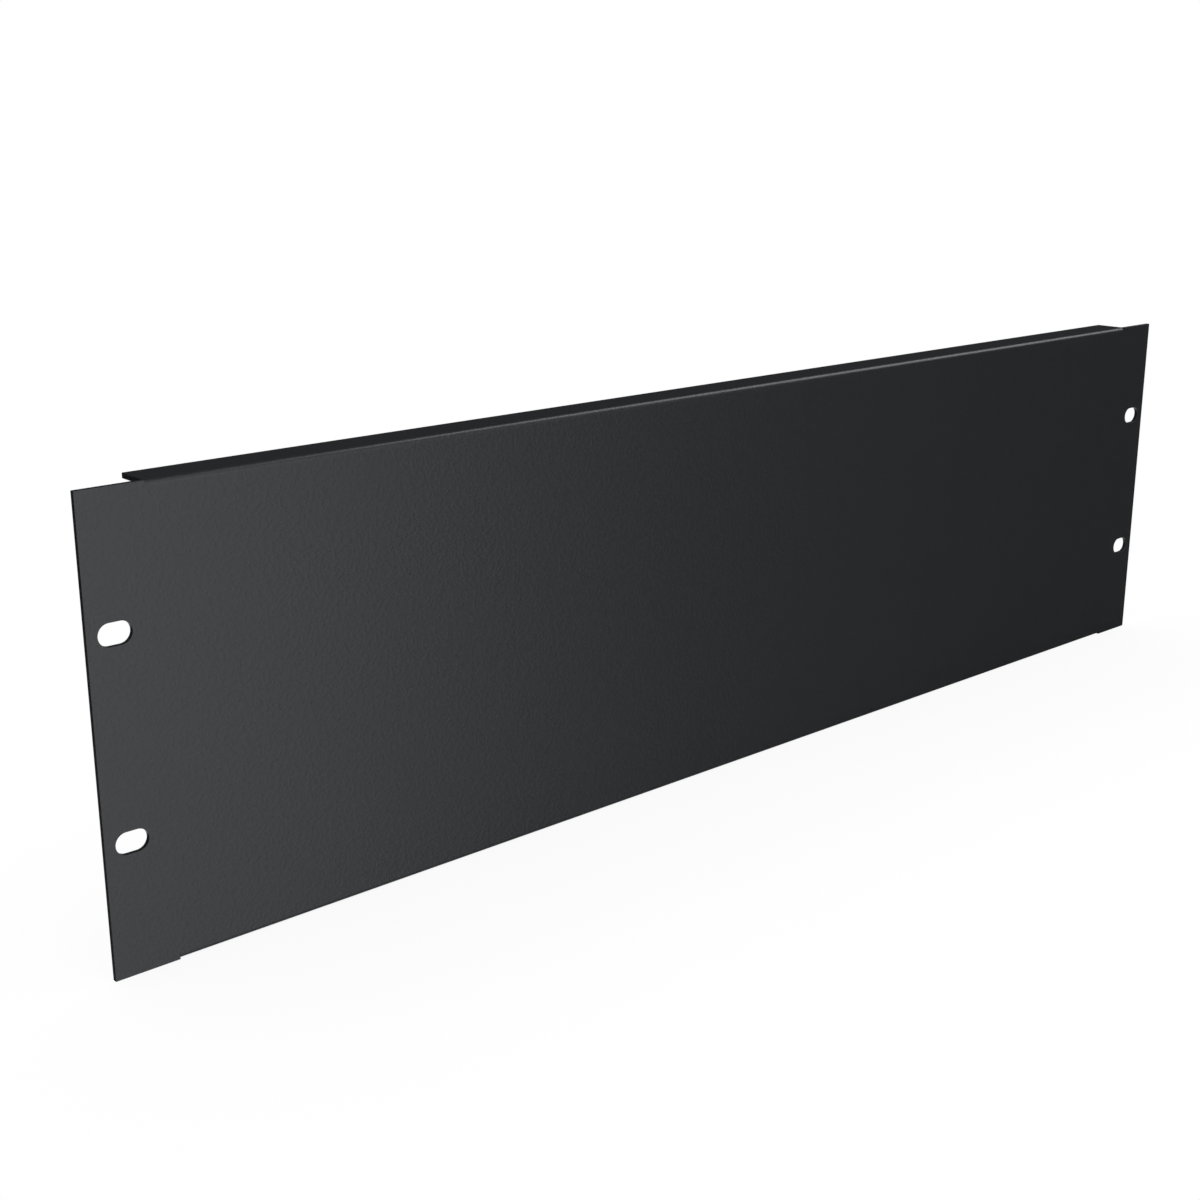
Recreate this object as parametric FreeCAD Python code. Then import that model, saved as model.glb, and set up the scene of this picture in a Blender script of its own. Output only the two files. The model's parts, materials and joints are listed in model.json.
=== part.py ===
import FreeCAD, Part
import math
import os

# Rack blanking panel: one steel sheet, cut flat and folded, that closes three
# empty units at the front of a 19 inch equipment rack.
# Frame: millimetres, +Z up, +X along the panel, +Y into the rack.
# Origin: the middle of the slot pattern, on the rear plane that meets the rails.

# Sheet
sheet_thickness = 1.519  # 16 gauge steel
bend_inner_radius = 0.1  # the folds are nearly sharp inside

# Face, as seen from the front
panel_width = 482.6  # 19 in over the ears
panel_height = 133.35  # three rack units of 1 3/4 in
ear_width = 18.95  # flat part past each end of the flanges

# Flanges folded back along the top and the bottom
flange_depth = 12.4  # from the front face to the flange's back edge

# Slots for the rack screws, one pair in each ear
slot_length = 9.525  # 3/8 in, along X
slot_width = 6.35  # 1/4 in, along Z
slot_inset = 7.9375  # 5/16 in, from the panel's end to the slot's middle
slot_spacing_z = 57.15  # 2 1/4 in, between the two slots of an ear

# Relief: the slit that frees each end of a fold from the ear beside it
relief_width = 0.1  # as little as the paint leaves open
relief_past_bend = 0.2  # how far the slit runs past the fold, into the face

# Through cuts start and stop this far clear of the sheet
cut_overrun = 1.0

# Sizes that follow from those above
half_width = panel_width / 2
half_height = panel_height / 2
ear_edge = half_width - ear_width
flange_end = ear_edge - relief_width
bend_outer_radius = bend_inner_radius + sheet_thickness
relief_depth = bend_outer_radius + relief_past_bend
front_y = -sheet_thickness
flange_back_y = front_y + flange_depth
slot_x = half_width - slot_inset
slot_z = slot_spacing_z / 2


def section_point(y, z):
    """A point of the folded section, which is drawn at the flanges' left end."""
    return FreeCAD.Vector(-flange_end, y, z)


def line(start, end):
    return Part.LineSegment(start, end).toShape()


def bend_arc(centre_z, radius, start_deg):
    """A quarter turn about a bend's axis. Angles run from +Y towards +Z."""
    arc_points = []
    for turn in (0, 45, 90):
        angle = math.radians(start_deg + turn)
        y = bend_inner_radius + radius * math.cos(angle)
        arc_points.append(section_point(y, centre_z + radius * math.sin(angle)))
    return Part.Arc(*arc_points).toShape()


def folded_line(inset):
    """Top flange, bend, face, bend and bottom flange, inset below the outer skin."""
    skin_y = front_y + inset
    skin_z = half_height - inset
    bend_z = half_height - bend_outer_radius
    radius = bend_outer_radius - inset
    return [
        line(section_point(flange_back_y, skin_z), section_point(bend_inner_radius, skin_z)),
        bend_arc(bend_z, radius, 90),
        line(section_point(skin_y, bend_z), section_point(skin_y, -bend_z)),
        bend_arc(-bend_z, radius, 180),
        line(section_point(bend_inner_radius, -skin_z), section_point(flange_back_y, -skin_z)),
    ]


def folded_length():
    """The stretch of sheet between the reliefs, with both flanges folded back."""
    inner_z = half_height - sheet_thickness
    outside = folded_line(0)
    inside = folded_line(sheet_thickness)
    low_edge = line(section_point(flange_back_y, -half_height), section_point(flange_back_y, -inner_z))
    top_edge = line(section_point(flange_back_y, inner_z), section_point(flange_back_y, half_height))
    section = Part.Face(Part.Wire(outside + [low_edge] + inside[::-1] + [top_edge]))
    return section.extrude(FreeCAD.Vector(2 * flange_end, 0, 0))


def flat_face():
    """The two full-height ears and the web between them, which stops at the reliefs."""
    web_z = half_height - relief_depth
    top_corner = [(ear_edge, web_z), (ear_edge, half_height), (half_width, half_height)]
    right = top_corner + [(x, -z) for x, z in reversed(top_corner)]
    left = [(-x, -z) for x, z in right]
    outline = [FreeCAD.Vector(x, front_y, z) for x, z in right + left]
    face = Part.Face(Part.makePolygon(outline + outline[:1]))
    return face.extrude(FreeCAD.Vector(0, sheet_thickness, 0))


def slot_cutter(x, z):
    """A bar with round ends that cuts one screw slot right through the sheet."""
    radius = slot_width / 2
    end_x = slot_length / 2 - radius
    y = front_y - cut_overrun
    edges = []
    for side in (1, -1):
        low = FreeCAD.Vector(x + side * end_x, y, z - side * radius)
        tip = FreeCAD.Vector(x + side * (end_x + radius), y, z)
        high = FreeCAD.Vector(x + side * end_x, y, z + side * radius)
        across = FreeCAD.Vector(x - side * end_x, y, z + side * radius)
        edges.append(Part.Arc(low, tip, high).toShape())
        edges.append(line(high, across))
    outline = Part.Face(Part.Wire(edges))
    return outline.extrude(FreeCAD.Vector(0, sheet_thickness + 2 * cut_overrun, 0))


def blanking_panel():
    """Ears and web joined to the folded length, then the slots cut through the ears."""
    sheet = flat_face().fuse(folded_length())
    slots = [slot_cutter(x, z) for x in (-slot_x, slot_x) for z in (-slot_z, slot_z)]
    return sheet.cut(slots).removeSplitter()


panel = blanking_panel()
os.makedirs("parts", exist_ok=True)
panel.exportStep("parts/blanking_panel.step")

box = panel.BoundBox
print("solids", len(panel.Solids), "valid", panel.isValid(), "faces", len(panel.Faces))
print("size", round(box.XLength, 3), round(box.YLength, 3), round(box.ZLength, 3))
print("volume mm3", round(panel.Volume, 1))
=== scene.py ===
# %% [markdown]
# Rack blanking panel.
# The real object is one sheet of 1.5 mm steel. It is cut flat with four screw slots, folded back along
# the top and the bottom, and coated with black powder that is baked until it flows. This file makes that
# sheet the same way: a flat blank, a thickness, a fold, and then the coat. It ends with the studio that
# shows it. Lengths are in metres, as everywhere in Blender, and sizes are written in millimetres times
# MM.

# %% Load the fixed frame
import json
import math
import bpy
import bmesh
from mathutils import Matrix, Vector


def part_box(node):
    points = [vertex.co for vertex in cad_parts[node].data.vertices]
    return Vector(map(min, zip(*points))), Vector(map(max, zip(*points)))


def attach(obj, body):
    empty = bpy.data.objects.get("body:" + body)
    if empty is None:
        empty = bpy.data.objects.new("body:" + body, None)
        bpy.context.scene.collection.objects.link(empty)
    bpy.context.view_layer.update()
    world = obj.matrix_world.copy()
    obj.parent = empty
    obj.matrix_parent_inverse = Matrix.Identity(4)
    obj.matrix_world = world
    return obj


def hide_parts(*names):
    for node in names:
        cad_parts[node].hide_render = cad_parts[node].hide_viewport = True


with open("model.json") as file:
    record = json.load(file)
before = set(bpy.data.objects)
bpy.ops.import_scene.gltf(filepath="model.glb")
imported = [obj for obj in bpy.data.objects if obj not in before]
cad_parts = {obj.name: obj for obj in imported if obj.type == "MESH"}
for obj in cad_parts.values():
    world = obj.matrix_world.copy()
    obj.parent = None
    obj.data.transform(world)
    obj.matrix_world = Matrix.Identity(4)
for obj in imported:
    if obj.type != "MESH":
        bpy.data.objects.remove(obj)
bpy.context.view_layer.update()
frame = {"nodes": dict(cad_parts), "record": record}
MM = 0.001

# %% [markdown]
# Sizes. The frame already says how large the panel is, so nothing is typed twice. The box of the CAD node
# gives its width, height and depth, the record's mount gives the slots, and the far ends of the flanges
# are read from the node's own corners. The panel's own axes are X along it, Y into the rack and Z up, and
# Y = 0 is the rear plane of the ears. So the lowest Y is the front face, and its distance from zero is
# the sheet's thickness.

# %% Read the panel's sizes from the frame
NODE = "blanking_panel"
panel_low, panel_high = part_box(NODE)
slot_facts = {mount["name"]: mount for mount in frame["record"]["mounts"]}["rack_slots"]["dims"]

front_y = panel_low.y
flange_back_y = panel_high.y
sheet_thickness = -front_y
half_width = panel_high.x
half_height = panel_high.z
flange_corners = [v.co.x for v in frame["nodes"][NODE].data.vertices if v.co.y > flange_back_y / 2]
flange_end = max(flange_corners)

slot_length = slot_facts["slot_length_mm"] * MM
slot_width = 2 * slot_facts["hole_r_mm"] * MM
slot_spacing_x = slot_facts["spacing_x_mm"] * MM
slot_spacing_z = slot_facts["spacing_y_mm"] * MM
panel_sizes = (2 * half_width, 2 * half_height, sheet_thickness)
print("panel mm:", [round(size / MM, 3) for size in panel_sizes])
print("flange end mm:", round(flange_end / MM, 3), "flange back mm:", round(flange_back_y / MM, 3))

# %% [markdown]
# Three sizes aren't in the frame's numbers: the inside radius of the folds, which is nearly nothing, and
# the two of the relief, the slit that frees each end of a fold from the ear beside it. In the steel it is
# 0.1 mm wide. The coat on its two walls closes most of that, so the slit is drawn as the hairline that
# stays open.

# %% Set the fold and its relief
bend_inner_radius = 0.1 * MM
relief_width = 0.04 * MM
relief_past_bend = 0.2 * MM

bend_radius = bend_inner_radius + sheet_thickness
bend_line = half_height - bend_radius
bend_length = bend_radius * math.pi / 2
flange_flat = flange_back_y - (front_y + bend_radius)
ear_edge = flange_end + relief_width
relief_end = bend_line - relief_past_bend
print("bend line mm:", round(bend_line / MM, 3))
print("outer skin of a bend mm:", round(bend_length / MM, 3))

# %% [markdown]
# The camera. A photograph fixes its own camera: the panel's corners, its slots and the two vanishing
# directions of its edges leave only one place, one direction and one lens that put every corner where the
# photo has it. The camera was solved from those points, so it stands 0.6 m from the panel's middle, left of
# it and above it, with a 51.6 mm lens. It is made first, because everything after it is compared through
# it.

# %% Place the camera
camera_place = Vector((-417.41, -392.95, 159.24)) * MM
camera_turn_deg = 41.64
camera_pitch_deg = 16.35
camera_lens_mm = 51.59
camera_sensor_mm = 36.0

camera_data = bpy.data.cameras.new("photo_camera")
camera_data.lens = camera_lens_mm
camera_data.sensor_width = camera_sensor_mm
camera_data.dof.use_dof = False
camera = bpy.data.objects.new("photo_camera", camera_data)
camera.location = camera_place
camera.rotation_euler = (math.radians(90 - camera_pitch_deg), 0, math.radians(-camera_turn_deg))
bpy.context.scene.collection.objects.link(camera)
bpy.context.scene.camera = camera
print("camera distance m:", round(camera_place.length, 3))

# %% [markdown]
# One helper for nodes. A node tree reads well when each line says what a node is, what goes into it and
# how it is set. An input may be a plain value, a socket, or another node, which then means that node's
# first output.

# %% Add a node with its links and settings
def add(tree, kind, inputs=None, **settings):
    node = tree.nodes.new(kind)
    for name, value in settings.items():
        setattr(node, name, value)
    for key, value in (inputs or {}).items():
        source = value.outputs[0] if isinstance(value, bpy.types.Node) else value
        if isinstance(source, bpy.types.NodeSocket):
            tree.links.new(source, node.inputs[key])
        else:
            node.inputs[key].default_value = source
    return node


print("helper ready:", add.__name__)

# %% [markdown]
# Colours are written as sRGB hex values, as a paint chart gives them, and turned into the linear light
# that Blender works in. The numbers are those of the sRGB standard: a short straight part near black, and
# a power curve above it.

# %% Turn a hex colour into linear light
def colour(hex_value):
    channels = []
    for start in (0, 2, 4):
        share = int(hex_value[start:start + 2], 16) / 255
        channels.append(share / 12.92 if share <= 0.04045 else ((share + 0.055) / 1.055) ** 2.4)
    return (*channels, 1.0)


print("the middle grey 808080 in linear light:", round(colour("808080")[0], 3))

# %% [markdown]
# The flat blank, step 1: the outline. In the shop, a punch cuts the whole outline from a flat sheet
# before anything is folded. Here the outline of the part that stays flat is a loop of twenty corners: two
# ears at full height, and between them the web, which ends at the bend lines. The four small steps are
# the reliefs. It lies on the bench, so X runs along the sheet and Y up the sheet. A loop of edges is
# enough: the nodes below fill it.

# %% Draw the outline of the flat part
def outline_loop():
    corner = [
        (flange_end, bend_line),
        (flange_end, relief_end),
        (ear_edge, relief_end),
        (ear_edge, half_height),
        (half_width, half_height),
    ]
    right = corner + [(x, -y) for x, y in reversed(corner)]
    loop = right + [(-x, -y) for x, y in right]
    mesh = bpy.data.meshes.new("blank_outline")
    edges = [(i, (i + 1) % len(loop)) for i in range(len(loop))]
    mesh.from_pydata([(x, y, 0) for x, y in loop], edges, [])
    return mesh


bench = bpy.data.objects.new("blank_on_the_bench", outline_loop())
bpy.context.scene.collection.objects.link(bench)
print("outline corners:", len(bench.data.vertices))

# %% [markdown]
# The blank, step 2: a tree of Geometry Nodes. It could be modelled by hand, or cut with Boolean
# modifiers. Nodes are the better fit, because the panel follows a rule: every size is a named input, the
# slot is drawn once and set on four points, and the fold is a formula. Change one input and the sheet is
# cut and folded again.

# %% Start the tree and name its inputs
tree = bpy.data.node_groups.new("cut_and_fold", "GeometryNodeTree")
tree.interface.new_socket("Outline", in_out="INPUT", socket_type="NodeSocketGeometry")
tree.interface.new_socket("Sheet", in_out="OUTPUT", socket_type="NodeSocketGeometry")
sizes = {
    "Sheet Thickness": sheet_thickness,
    "Bend Line": bend_line,
    "Bend Radius": bend_radius,
    "Bend Length": bend_length,
    "Flange Flat": flange_flat,
    "Flange End": flange_end,
    "Ear Edge": ear_edge,
    "Relief Width": relief_width,
    "Front": front_y,
    "Slot Length": slot_length,
    "Slot Width": slot_width,
    "Slot Spacing X": slot_spacing_x,
    "Slot Spacing Z": slot_spacing_z,
}
for name in sizes:
    tree.interface.new_socket(name, in_out="INPUT", socket_type="NodeSocketFloat")
tree.interface.new_socket("Bend Steps", in_out="INPUT", socket_type="NodeSocketInt")
tree.interface.new_socket("Coat", in_out="INPUT", socket_type="NodeSocketMaterial")
given = tree.nodes.new("NodeGroupInput").outputs
WELD = 0.001 * MM
print("inputs of the tree:", len(given) - 1)

# %% [markdown]
# The slots. Each is a rectangle whose corners are rounded by half its width, so that its ends are half
# circles, as a punch cuts them. The four slots sit on the corners of a rectangle, which a grid of 2 by 2
# points gives.

# %% Set one slot on four points
slot_corner_steps = 12
half_slot = add(tree, "ShaderNodeMath", {0: given["Slot Width"], 1: 0.5}, operation="MULTIPLY")
rectangle = add(tree, "GeometryNodeCurvePrimitiveQuadrilateral",
                {"Width": given["Slot Length"], "Height": given["Slot Width"]})
slot = add(tree, "GeometryNodeFilletCurve",
           {"Curve": rectangle, "Count": slot_corner_steps, "Radius": half_slot, "Limit Radius": True},
           mode="POLY")
slot_centres = add(tree, "GeometryNodeMeshGrid",
                   {"Size X": given["Slot Spacing X"], "Size Y": given["Slot Spacing Z"],
                    "Vertices X": 2, "Vertices Y": 2})
slots = add(tree, "GeometryNodeInstanceOnPoints", {"Points": slot_centres, "Instance": slot})
cut_slots = add(tree, "GeometryNodeRealizeInstances", {"Geometry": slots})
outline = add(tree, "GeometryNodeMeshToCurve", {"Mesh": given["Outline"]})
cut_lines = add(tree, "GeometryNodeJoinGeometry", {"Geometry": outline})
tree.links.new(cut_slots.outputs[0], cut_lines.inputs[0])
flat_part = add(tree, "GeometryNodeFillCurve", {"Curve": cut_lines}, mode="NGONS")
print("slot mm:", round(slot_length / MM, 3), "by", round(slot_width / MM, 3), "nodes:", len(tree.nodes))

# %% [markdown]
# The two strips that get folded. A fold needs rows of narrow faces to turn smoothly, and the flange
# behind it needs only one wide face. Both are grids. They are placed past the bend line of the top edge,
# and the same pair turned by half a turn makes the bottom edge. Welding joins the strips to the flat
# part.

# %% Lay out the strips and weld the blank
strip_width = add(tree, "ShaderNodeMath", {0: given["Flange End"], 1: 2.0}, operation="MULTIPLY")
rows = add(tree, "ShaderNodeMath", {0: given["Bend Steps"], 1: 1.0}, operation="ADD")
bend_middle = add(tree, "ShaderNodeMath", {0: given["Bend Length"], 1: 0.5, 2: given["Bend Line"]},
                  operation="MULTIPLY_ADD")
flange_start = add(tree, "ShaderNodeMath", {0: given["Bend Line"], 1: given["Bend Length"]},
                   operation="ADD")
flange_middle = add(tree, "ShaderNodeMath", {0: given["Flange Flat"], 1: 0.5, 2: flange_start},
                    operation="MULTIPLY_ADD")
strips = add(tree, "GeometryNodeJoinGeometry")
strip_facts = [
    (given["Bend Length"], rows, bend_middle),
    (given["Flange Flat"], 2, flange_middle),
]
for length, row_count, middle in strip_facts:
    grid = add(tree, "GeometryNodeMeshGrid",
               {"Size X": strip_width, "Size Y": length, "Vertices X": 2, "Vertices Y": row_count})
    shift = add(tree, "ShaderNodeCombineXYZ", {"Y": middle})
    strip = add(tree, "GeometryNodeTransform", {"Geometry": grid, "Translation": shift})
    tree.links.new(strip.outputs[0], strips.inputs[0])
low_strips = add(tree, "GeometryNodeTransform", {"Geometry": strips, "Rotation": (0, 0, math.pi)})
blank_parts = add(tree, "GeometryNodeJoinGeometry", {"Geometry": flat_part})
tree.links.new(strips.outputs[0], blank_parts.inputs[0])
tree.links.new(low_strips.outputs[0], blank_parts.inputs[0])
blank = add(tree, "GeometryNodeMergeByDistance", {"Geometry": blank_parts, "Distance": WELD})
strip_mm = (bend_length + flange_flat) / MM
print("outer skin of one strip mm:", round(strip_mm, 3), "nodes:", len(tree.nodes))

# %% [markdown]
# Thickness. The blank is pushed up from the back skin to the front skin, which leaves it open below. A
# flipped copy closes it, so that every face points outwards. The front skin stays at height 0, because
# the fold below measures depth from it.

# %% Give the blank its thickness
sink = add(tree, "ShaderNodeMath", {0: given["Sheet Thickness"], 1: -1.0}, operation="MULTIPLY")
back_skin = add(tree, "GeometryNodeSetPosition",
                {"Geometry": blank, "Offset": add(tree, "ShaderNodeCombineXYZ", {"Z": sink})})
rise = add(tree, "ShaderNodeCombineXYZ", {"Z": given["Sheet Thickness"]})
walls = add(tree, "GeometryNodeExtrudeMesh",
            {"Mesh": back_skin, "Offset": rise, "Offset Scale": 1.0, "Individual": False}, mode="FACES")
closing = add(tree, "GeometryNodeFlipFaces", {"Mesh": back_skin})
shell = add(tree, "GeometryNodeJoinGeometry", {"Geometry": walls})
tree.links.new(closing.outputs[0], shell.inputs[0])
flat_sheet = add(tree, "GeometryNodeMergeByDistance", {"Geometry": shell, "Distance": WELD})
print("thickness mm:", round(sheet_thickness / MM, 3), "nodes:", len(tree.nodes))

# %% [markdown]
# The fold. A point of the blank is x along the sheet, s up the sheet and w below its front skin. How far
# s is past the bend line says how far round the bend the point has gone: angle = past / radius, up to a
# quarter turn. What is left over runs straight back along the flange. A point deeper in the sheet turns
# on a smaller radius.
#   y = front + radius - (radius + w) cos(angle) + left over
#   z = bend line + (radius + w) sin(angle), with the sign of s
# The ears lie outside the flanges' ends, so there the distance past the bend line is held at zero.

# %% Fold the flanges back by formula
point = add(tree, "ShaderNodeSeparateXYZ", {0: add(tree, "GeometryNodeInputPosition")})
up_sheet = add(tree, "ShaderNodeMath", {0: point.outputs["Y"]}, operation="ABSOLUTE")
side = add(tree, "ShaderNodeMath", {0: point.outputs["Y"]}, operation="SIGN")
along = add(tree, "ShaderNodeMath", {0: point.outputs["X"]}, operation="ABSOLUTE")
slit_middle = add(tree, "ShaderNodeMath", {0: given["Relief Width"], 1: -0.5, 2: given["Ear Edge"]},
                  operation="MULTIPLY_ADD")
folds = add(tree, "ShaderNodeMath", {0: along, 1: slit_middle}, operation="LESS_THAN")
over = add(tree, "ShaderNodeMath", {0: up_sheet, 1: given["Bend Line"]}, operation="SUBTRACT")
over_zero = add(tree, "ShaderNodeMath", {0: over, 1: 0.0}, operation="MAXIMUM")
past = add(tree, "ShaderNodeMath", {0: over_zero, 1: folds}, operation="MULTIPLY")
turned = add(tree, "ShaderNodeMath", {0: past, 1: given["Bend Radius"]}, operation="DIVIDE")
angle = add(tree, "ShaderNodeMath", {0: turned, 1: math.pi / 2}, operation="MINIMUM")
run_on = add(tree, "ShaderNodeMath", {0: past, 1: given["Bend Length"]}, operation="SUBTRACT")
left_over = add(tree, "ShaderNodeMath", {0: run_on, 1: 0.0}, operation="MAXIMUM")
radius = add(tree, "ShaderNodeMath", {0: given["Bend Radius"], 1: point.outputs["Z"]}, operation="ADD")
cosine = add(tree, "ShaderNodeMath", {0: angle}, operation="COSINE")
back = add(tree, "ShaderNodeMath", {0: radius, 1: cosine}, operation="MULTIPLY")
bend_axis = add(tree, "ShaderNodeMath", {0: given["Front"], 1: given["Bend Radius"]}, operation="ADD")
axis_and_rest = add(tree, "ShaderNodeMath", {0: bend_axis, 1: left_over}, operation="ADD")
folded_y = add(tree, "ShaderNodeMath", {0: axis_and_rest, 1: back}, operation="SUBTRACT")
flat_height = add(tree, "ShaderNodeMath", {0: up_sheet, 1: past}, operation="SUBTRACT")
sine = add(tree, "ShaderNodeMath", {0: angle}, operation="SINE")
height = add(tree, "ShaderNodeMath", {0: radius, 1: sine, 2: flat_height}, operation="MULTIPLY_ADD")
folded_z = add(tree, "ShaderNodeMath", {0: height, 1: side}, operation="MULTIPLY")
folded_point = add(tree, "ShaderNodeCombineXYZ", {"X": point.outputs["X"], "Y": folded_y, "Z": folded_z})
folded = add(tree, "GeometryNodeSetPosition", {"Geometry": flat_sheet, "Position": folded_point})
print("bend radius mm:", round(bend_radius / MM, 3), "nodes:", len(tree.nodes))

# %% [markdown]
# Edges. A punched edge is sharp, and the coat rounds it a little as it melts. A Bevel modifier does that
# later, and this attribute tells it where: on every sharp edge but those inside the hairline reliefs,
# which have no room for a rounding and are marked sharp instead.

# %% Mark the edges that the coat rounds
corner_angle_deg = 30.0
edge_turn = add(tree, "GeometryNodeInputMeshEdgeAngle")
is_corner = add(tree, "FunctionNodeCompare", {"A": edge_turn, "B": math.radians(corner_angle_deg)},
                data_type="FLOAT", operation="GREATER_THAN")
place = add(tree, "ShaderNodeSeparateXYZ", {0: add(tree, "GeometryNodeInputPosition")})
place_along = add(tree, "ShaderNodeMath", {0: place.outputs["X"]}, operation="ABSOLUTE")
past_flange = add(tree, "ShaderNodeMath", {0: place_along, 1: given["Flange End"]}, operation="SUBTRACT")
half_relief = add(tree, "ShaderNodeMath", {0: given["Relief Width"], 1: 0.5}, operation="MULTIPLY")
near_slit = add(tree, "FunctionNodeCompare",
                {"A": past_flange, "B": half_relief, "Epsilon": given["Relief Width"]},
                data_type="FLOAT", operation="EQUAL")
bend_behind = add(tree, "ShaderNodeMath", {0: bend_axis, 1: WELD}, operation="ADD")
in_sheet = add(tree, "FunctionNodeCompare", {"A": place.outputs["Y"], "B": bend_behind},
               data_type="FLOAT", operation="LESS_THAN")
in_slit = add(tree, "FunctionNodeBooleanMath", {0: near_slit, 1: in_sheet}, operation="AND")
rounded = add(tree, "FunctionNodeBooleanMath", {0: is_corner, 1: in_slit}, operation="NIMPLY")
left_sharp = add(tree, "FunctionNodeBooleanMath", {0: is_corner, 1: in_slit}, operation="AND")
marked = add(tree, "GeometryNodeStoreNamedAttribute",
             {"Geometry": folded, "Name": "bevel_weight_edge", "Value": rounded},
             data_type="FLOAT", domain="EDGE")
smooth = add(tree, "GeometryNodeSetShadeSmooth", {"Geometry": marked, "Shade Smooth": True},
             domain="FACE")
creased = add(tree, "GeometryNodeSetShadeSmooth",
              {"Geometry": smooth, "Selection": left_sharp, "Shade Smooth": False}, domain="EDGE")
realized = add(tree, "GeometryNodeRealizeInstances", {"Geometry": creased})
coated = add(tree, "GeometryNodeSetMaterial", {"Geometry": realized, "Material": given["Coat"]})
add(tree, "NodeGroupOutput", {0: coated})
print("nodes in the tree:", len(tree.nodes))

# %% [markdown]
# The finish: black powder coat with a fine texture. Polyester powder is sprayed on dry and baked at 200
# degrees. It melts, but it never levels out: the skin, about 0.08 mm thick, sets in low pebbles and short
# worms, about a millimetre apart and a hundredth high. A picture of such a surface could be wrapped round
# the sheet. A pattern worked out from the place is better, because it has the same size on every side and
# has no seam. The pebbles are islands: a smooth random field is the land, and where it rises above a
# level they stand out of the flat skin. Their flanks rise smoothly from the foot, where they start, to
# the crest, where they level off.

# %% Set the coat's real sizes
pebble_spacing = 1.15 * MM
pebble_height = 0.0135 * MM
foot_level = 0.46
crest_level = 0.63
field_detail = 1.0
grain_spacing = 0.35 * MM
grain_height = 0.002 * MM
print("pebbles mm apart:", round(pebble_spacing / MM, 2), "mm high:", round(pebble_height / MM, 4))

# %% [markdown]
# It isn't a metal: what is seen is resin, with a plastic's index of refraction over a very dark grey with
# a touch of blue. Matting grains in it, finer than the pebbles, spread its reflections, so it shines
# softly, like an eggshell. They also vary its tone and its gloss a little. Real ones are hundredths of a
# millimetre wide, too fine to show here, so they are drawn coarser.

# %% Build the powder coat
coat_dark = "1c1d1f"
coat_light = "202123"
coat_ior = 1.55
smoothest = 0.30
roughest = 0.34
grain_low = 0.3
grain_high = 0.7


def new_material(name):
    material = bpy.data.materials.new(name)
    material.use_nodes = True
    material.node_tree.nodes.clear()
    return material


def powder_coat():
    material = new_material("powder_coated_steel_black")
    nodes = material.node_tree
    spot = add(nodes, "ShaderNodeTexCoord").outputs["Object"]
    field = add(nodes, "ShaderNodeTexNoise",
                {"Vector": spot, "Scale": 1 / pebble_spacing, "Detail": field_detail})
    pebbles = add(nodes, "ShaderNodeMapRange",
                  {"Value": field, "From Min": foot_level, "From Max": crest_level},
                  interpolation_type="SMOOTHSTEP")
    grains = add(nodes, "ShaderNodeTexNoise", {"Vector": spot, "Scale": 1 / grain_spacing})
    tint = add(nodes, "ShaderNodeMix", {0: grains, 6: colour(coat_dark), 7: colour(coat_light)},
               data_type="RGBA")
    gloss = add(nodes, "ShaderNodeMapRange",
                {"Value": grains, "From Min": grain_low, "From Max": grain_high, "To Min": smoothest,
                 "To Max": roughest})
    fine = add(nodes, "ShaderNodeBump", {"Height": grains, "Distance": grain_height})
    relief = add(nodes, "ShaderNodeBump", {"Height": pebbles, "Distance": pebble_height, "Normal": fine})
    shader = add(nodes, "ShaderNodeBsdfPrincipled",
                 {"Base Color": tint.outputs[2], "Roughness": gloss, "IOR": coat_ior, "Normal": relief})
    add(nodes, "ShaderNodeOutputMaterial", {"Surface": shader})
    return material


coat = powder_coat()
print("finish:", coat.name, "nodes:", len(coat.node_tree.nodes))

# %% [markdown]
# Now the tree is run. Its inputs are set by the identifier of each socket, since a name may change. A
# Bevel modifier rounds the marked edges by a tenth of a millimetre, and Weighted Normal keeps the large
# faces truly flat beside the narrow ones. The result is turned into a plain mesh, so the finished piece
# carries no modifiers. The outline had no material, so its empty slot comes first and is taken out.

# %% Cut, fold and round the sheet
edge_rounding = 0.12 * MM
bend_steps = 16
edge_steps = 3
large_faces_first = 100


def finished_sheet():
    cutter = bench.modifiers.new("cut_and_fold", "NODES")
    cutter.node_group = tree
    values = dict(sizes)
    values["Bend Steps"] = bend_steps
    values["Coat"] = coat
    for item in tree.interface.items_tree:
        if item.in_out == "INPUT" and item.name in values:
            cutter[item.identifier] = values[item.name]
    bevel = bench.modifiers.new("coat_rounds_edges", "BEVEL")
    bevel.limit_method = "WEIGHT"
    bevel.width = edge_rounding
    bevel.segments = edge_steps
    bevel.use_clamp_overlap = False
    normals = bench.modifiers.new("flat_faces_stay_flat", "WEIGHTED_NORMAL")
    normals.weight = large_faces_first
    normals.keep_sharp = True
    evaluated = bench.evaluated_get(bpy.context.evaluated_depsgraph_get())
    mesh = bpy.data.meshes.new_from_object(evaluated)
    mesh.name = "folded_sheet"
    mesh.materials.pop(index=0)
    return mesh


panel = bpy.data.objects.new("folded_sheet", finished_sheet())
bpy.context.scene.collection.objects.link(panel)
bpy.data.objects.remove(bench)

check = bmesh.new()
check.from_mesh(panel.data)
open_edges = sum(1 for edge in check.edges if not edge.is_manifold)
volume_cm3 = check.calc_volume() / (10 * MM) ** 3
check.free()
print("faces:", len(panel.data.polygons), "open edges:", open_edges, "volume cm3:", round(volume_cm3, 2))

# %% [markdown]
# The finished sheet rides on the CAD body and stands for the CAD node, which stays behind it for
# collision.

# %% Hang the sheet on the frame
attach(panel, "root")
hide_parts(NODE)
print(panel.name, "stands for", NODE)

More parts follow.
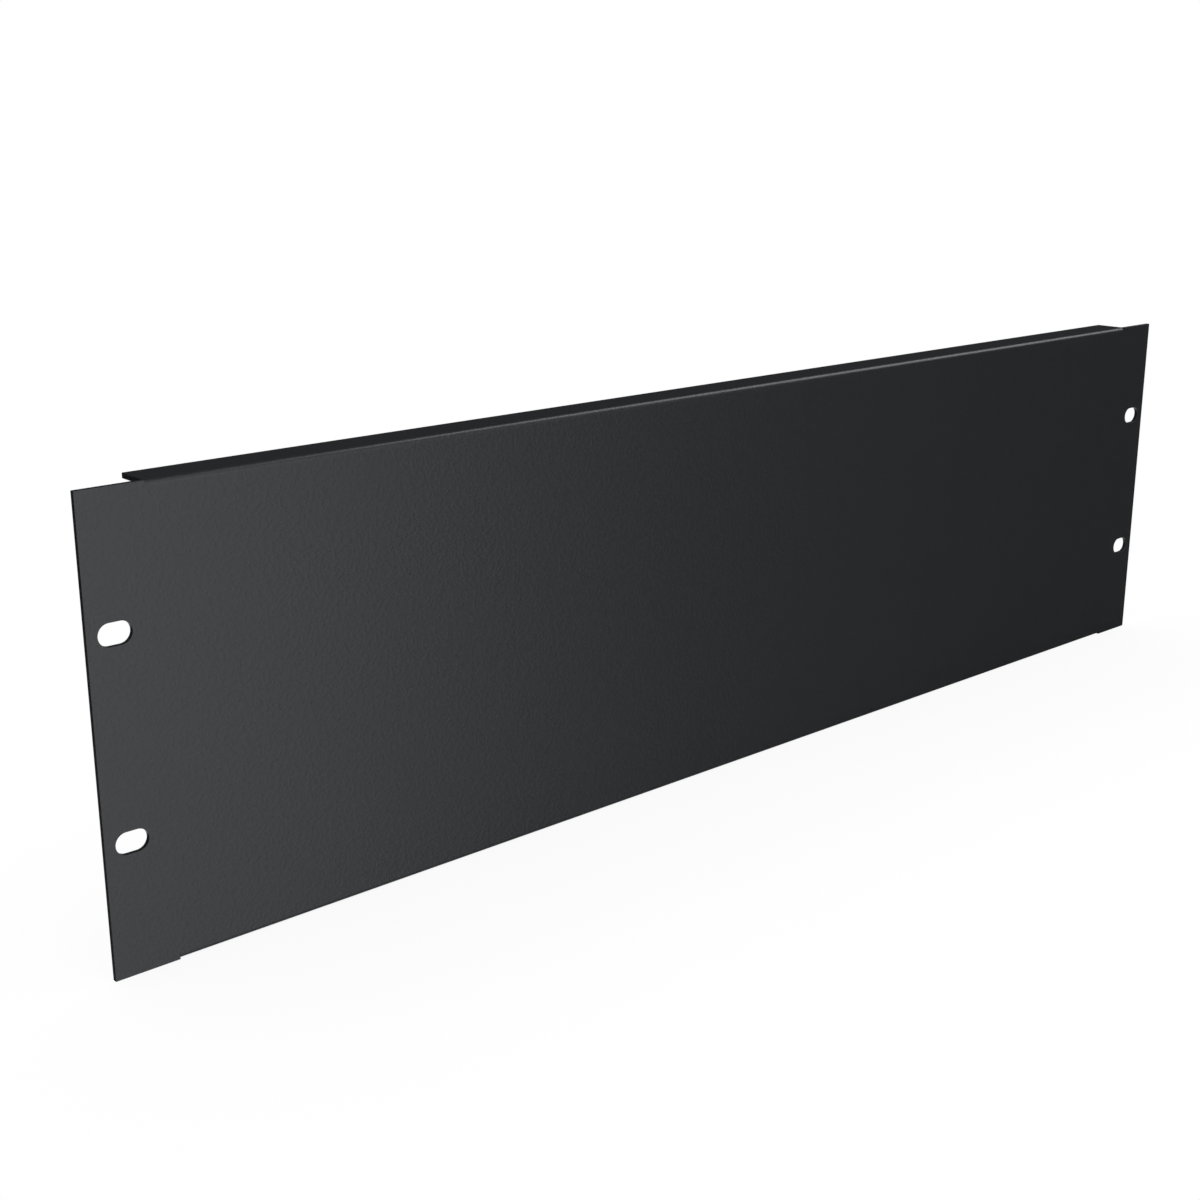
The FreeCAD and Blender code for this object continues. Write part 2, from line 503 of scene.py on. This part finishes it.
# %% [markdown]
# The studio, step 1: the white. The photo shows the panel on plain white with soft light, so the world
# and the floor are white, at strength 1, where the camera or a reflection sees them. For the light they
# give, the world is a soft grey.

# %% Light the world
ambient = 0.36
WHITE = "ffffff"


def seen_by_eye(nodes):
    path = add(nodes, "ShaderNodeLightPath").outputs
    shiny = add(nodes, "ShaderNodeMath", {0: path["Is Camera Ray"], 1: path["Is Glossy Ray"]},
                operation="MAXIMUM")
    return add(nodes, "ShaderNodeMath", {0: shiny, 1: path["Is Transmission Ray"]}, operation="MAXIMUM")


def studio_world():
    world = bpy.data.worlds.new("white_studio")
    world.use_nodes = True
    nodes = world.node_tree
    nodes.nodes.clear()
    light = add(nodes, "ShaderNodeBackground", {"Color": colour(WHITE), "Strength": ambient})
    white = add(nodes, "ShaderNodeBackground", {"Color": colour(WHITE), "Strength": 1.0})
    both = add(nodes, "ShaderNodeMixShader", {0: seen_by_eye(nodes), 1: light, 2: white})
    add(nodes, "ShaderNodeOutputWorld", {"Surface": both})
    return world


bpy.context.scene.world = studio_world()
print("ambient light, as a share of white:", ambient)

# %% [markdown]
# The floor keeps the panel's shadow as a real white floor under an even sky does. It darkens where the
# panel hides a part of that sky, which is what ambient occlusion measures. A lamp's own shadow would be
# another way, but a shadow that depends on the sky alone stays soft from every side.

# %% Lay the floor
floor_reach = 12.0
floor_white = "e6e6e6"
shadow_reach = 0.12
shadow_tone = 0.90


def stage_piece(name, mesh, material):
    mesh.materials.append(material)
    piece = bpy.data.objects.new(name, mesh)
    bpy.context.scene.collection.objects.link(piece)
    return piece


def floor_paint():
    material = new_material("white_floor")
    nodes = material.node_tree
    sky = add(nodes, "ShaderNodeAmbientOcclusion", {"Distance": shadow_reach})
    tone = add(nodes, "ShaderNodeMapRange", {"Value": sky.outputs["AO"], "To Min": shadow_tone})
    shown = add(nodes, "ShaderNodeEmission", {"Color": colour(WHITE), "Strength": tone})
    paint = add(nodes, "ShaderNodeBsdfDiffuse", {"Color": colour(floor_white)})
    both = add(nodes, "ShaderNodeMixShader", {0: seen_by_eye(nodes), 1: paint, 2: shown})
    add(nodes, "ShaderNodeOutputMaterial", {"Surface": both})
    return material


def floor_mesh():
    mesh = bpy.data.meshes.new("floor")
    r = floor_reach
    z = -half_height
    mesh.from_pydata([(-r, -r, z), (r, -r, z), (r, r, z), (-r, r, z)], [], [(0, 1, 2, 3)])
    return mesh


floor = stage_piece("floor", floor_mesh(), floor_paint())
floor.visible_glossy = False
print("floor height mm:", round(-half_height / MM, 3))

# %% [markdown]
# The studio, step 2: what the coat mirrors. A black coat shows little colour of its own. Most of what the
# eye sees on it is the room in its skin. In the photo the face fades from soft grey at its left end to
# black at its right, because the left end mirrors a bright wall of the studio and the right end the dark
# beside it. Paint that fades along the panel would look the same at first, and be wrong from every other
# side. So the room is built: a large drum round the panel, seen by reflections alone, whose light falls
# off round it. Azimuth is counted from the front towards the right. The wall is bright in front and fades
# towards both sides, faster on the right, and is dimmer low down. Steeply below, a lit floor gives the
# lower fold a little light, so that it doesn't show as a black line. A round patch low behind gives the
# back its gloss, and the rest is nearly black.

# %% Set where the drum is bright
drum_radius = 4.0
drum_rings = 24
drum_tint = "f8fbff"
bright_level = 1.38
bright_until_deg = 21.4
dark_from_deg = 43.4
dark_level = 0.013
floor_level = 0.19
floor_bright_deg = -54.0
floor_dark_deg = -30.0
left_dark_deg = -86.0
left_bright_deg = 0.0
low_dim_deg = -32.0
low_bright_deg = -18.0
low_share = 0.68
patch_azimuth_deg = 158.0
patch_height_deg = -34.0
patch_reach_deg = 38.0
patch_level = 0.95
print("brightest wall:", bright_level, "darkest:", dark_level, "floor:", floor_level)

# %% [markdown]
# All of its light falls off smoothly with an angle, so one helper says how. The angles come from the
# drum's own coordinates, never from the camera, so the light stays where it is when the view turns.

# %% Let a light fade with an angle
def fading(nodes, angle, low_deg, high_deg, least):
    """Rises smoothly from least to 1 as the angle goes from the one limit to the other."""
    return add(nodes, "ShaderNodeMapRange",
               {"Value": angle, "From Min": math.radians(low_deg), "From Max": math.radians(high_deg),
                "To Min": least}, interpolation_type="SMOOTHSTEP")


print("the wall fades on the right between azimuths:", (bright_until_deg, dark_from_deg))
print("and on the left between:", (left_bright_deg, left_dark_deg))

# %% [markdown]
# The drum's paint adds up the wall, the patch behind and the floor, and glows that brightly.

# %% Paint the drum's light
def drum_paint():
    material = new_material("backdrop_light_falling_off")
    nodes = material.node_tree
    spot = add(nodes, "ShaderNodeTexCoord").outputs["Object"]
    axes = add(nodes, "ShaderNodeSeparateXYZ", {0: spot})
    toward = add(nodes, "ShaderNodeMath", {0: axes.outputs["Y"], 1: -1.0}, operation="MULTIPLY")
    azimuth = add(nodes, "ShaderNodeMath", {0: axes.outputs["X"], 1: toward}, operation="ARCTAN2")
    rise = add(nodes, "ShaderNodeMath", {0: axes.outputs["Z"], 1: drum_radius}, operation="DIVIDE")
    height = add(nodes, "ShaderNodeMath", {0: rise}, operation="ARCSINE")
    right = fading(nodes, azimuth, dark_from_deg, bright_until_deg, 0.0)
    left = fading(nodes, azimuth, left_dark_deg, left_bright_deg, 0.0)
    low = fading(nodes, height, low_dim_deg, low_bright_deg, low_share)
    wall = add(nodes, "ShaderNodeMath", {0: right, 1: left}, operation="MINIMUM")
    dimmed = add(nodes, "ShaderNodeMath", {0: wall, 1: low}, operation="MULTIPLY")
    front = add(nodes, "ShaderNodeMath", {0: dimmed, 1: bright_level}, operation="MULTIPLY")
    turn = math.radians(patch_azimuth_deg)
    tilt = math.radians(patch_height_deg)
    centre = (math.cos(tilt) * math.sin(turn), -math.cos(tilt) * math.cos(turn), math.sin(tilt))
    near = add(nodes, "ShaderNodeVectorMath", {0: spot, 1: centre}, operation="DOT_PRODUCT")
    patch_edge = drum_radius * math.cos(math.radians(patch_reach_deg))
    patch = add(nodes, "ShaderNodeMapRange",
                {"Value": near.outputs["Value"], "From Min": patch_edge, "From Max": drum_radius,
                 "To Max": patch_level}, interpolation_type="SMOOTHSTEP")
    lit = add(nodes, "ShaderNodeMath", {0: front, 1: patch}, operation="ADD")
    ground = add(nodes, "ShaderNodeMapRange",
                 {"Value": height, "From Min": math.radians(floor_bright_deg),
                  "From Max": math.radians(floor_dark_deg), "To Min": floor_level, "To Max": dark_level},
                 interpolation_type="SMOOTHSTEP")
    glow = add(nodes, "ShaderNodeMath", {0: lit, 1: ground}, operation="ADD")
    shown = add(nodes, "ShaderNodeEmission", {"Color": colour(drum_tint), "Strength": glow})
    add(nodes, "ShaderNodeOutputMaterial", {"Surface": shown})
    return material


drum_light = drum_paint()
print("nodes of the drum's paint:", len(drum_light.node_tree.nodes))

# %% [markdown]
# The drum itself is a plain sphere, which only reflections can see. The camera, the soft light and the
# shadows pass it by, so the white world shows behind the panel and lights it as before.

# %% Set up the drum
def drum_mesh():
    ball = bmesh.new()
    bmesh.ops.create_uvsphere(ball, u_segments=2 * drum_rings, v_segments=drum_rings,
                              radius=drum_radius)
    mesh = bpy.data.meshes.new("backdrop_drum")
    ball.to_mesh(mesh)
    ball.free()
    return mesh


drum = stage_piece("backdrop_drum", drum_mesh(), drum_light)
drum.visible_camera = False
drum.visible_diffuse = False
drum.visible_shadow = False
drum.visible_transmission = False
print("drum faces:", len(drum.data.polygons))

# %% [markdown]
# The studio, step 3: the softboxes. Three large ones only light the paint: one in front, one overhead and
# one behind, so that a face turned any way gets about the light that shows a colour as it is written. The
# end face on the left gets least, as in the photo. The fourth stands high on the right and is seen in the
# coat, a touch bluer than white. It draws the bright line along the top fold, which is the one place where
# the sheet leans towards it.

# %% Hang the softboxes
def softbox(name, place, aim, width, height, brightness, tint=WHITE, in_gloss=False):
    """A lamp with an even face, as bright as brightness times white paper."""
    data = bpy.data.lights.new(name, "AREA")
    data.shape = "RECTANGLE"
    data.size = width
    data.size_y = height
    data.color = colour(tint)[:3]
    data.energy = brightness * width * height * math.pi
    lamp = bpy.data.objects.new(name, data)
    lamp.location = place
    lamp.rotation_euler = (Vector(aim) - Vector(place)).to_track_quat("-Z", "Y").to_euler()
    lamp.visible_camera = False
    lamp.visible_glossy = in_gloss
    bpy.context.scene.collection.objects.link(lamp)
    return lamp


panel_middle = (0, 0, 0)
fold_middle = (0, 0, half_height)
softboxes = [
    softbox("front_fill", (0.5, -1.8, 0.3), panel_middle, width=1.4, height=1.0, brightness=2.8),
    softbox("overhead", (0.0, -0.1, 1.8), panel_middle, width=1.6, height=1.0, brightness=7.0),
    softbox("rear_fill", (0.35, 1.7, 0.9), panel_middle, width=1.4, height=1.0, brightness=4.0),
    softbox("fold_light", (0.88, -0.20, 0.86), fold_middle, width=0.6, height=0.9, brightness=2.4,
            tint="fafcff", in_gloss=True),
]
print("softboxes:", [lamp.name for lamp in softboxes])

# %% [markdown]
# Last, the view settings stay plain.

# %% Keep the view settings plain
bpy.context.scene.view_settings.view_transform = "Standard"
